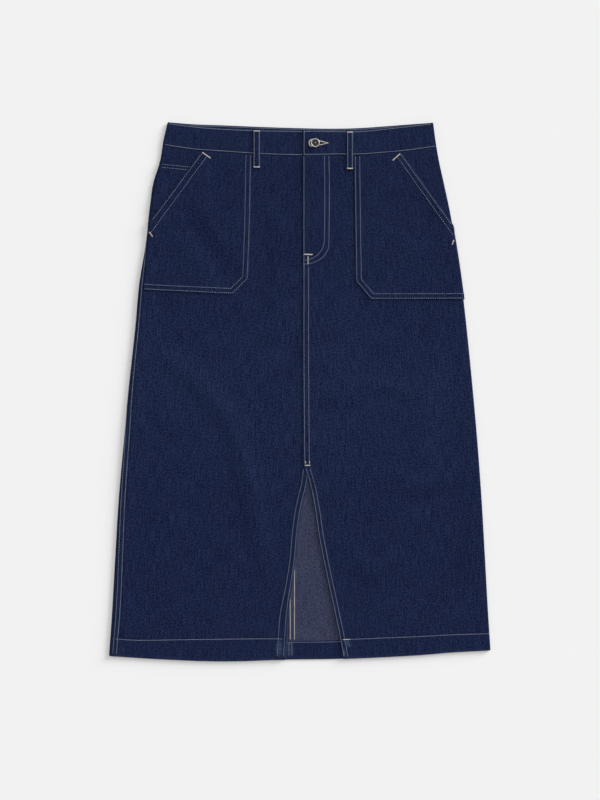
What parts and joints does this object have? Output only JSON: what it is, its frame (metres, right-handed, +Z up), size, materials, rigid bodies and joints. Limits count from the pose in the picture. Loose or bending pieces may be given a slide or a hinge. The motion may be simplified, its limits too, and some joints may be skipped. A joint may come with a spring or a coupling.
{
  "type": "denim skirt",
  "caption": "Straight midi denim skirt laid flat: waistband with button and keyhole, belt loops, slanted patch pockets, coin pocket, fly and open front slit.",
  "frame": {"origin": "centre of the footprint, on the surface that the skirt lies on", "axes": "+Y from the hem to the waist, +X to the wearer's left, +Z up out of the skirt's front"},
  "size_m": [0.5716, 0.8084, 0.0112],
  "materials": {
    "denim": "dark rinse indigo twill, matt",
    "button_metal": "dull nickel, slightly worn"
  },
  "bodies": {
    "root": {"back_right": "denim", "back_left": "denim", "front_right": "denim", "front_left": "denim", "waistband": "denim", "pocket_right": "denim", "pocket_left": "denim", "coin_pocket": "denim", "belt_loop_right": "denim", "belt_loop_left": "denim", "button": "button_metal"}
  },
  "joints": []
}
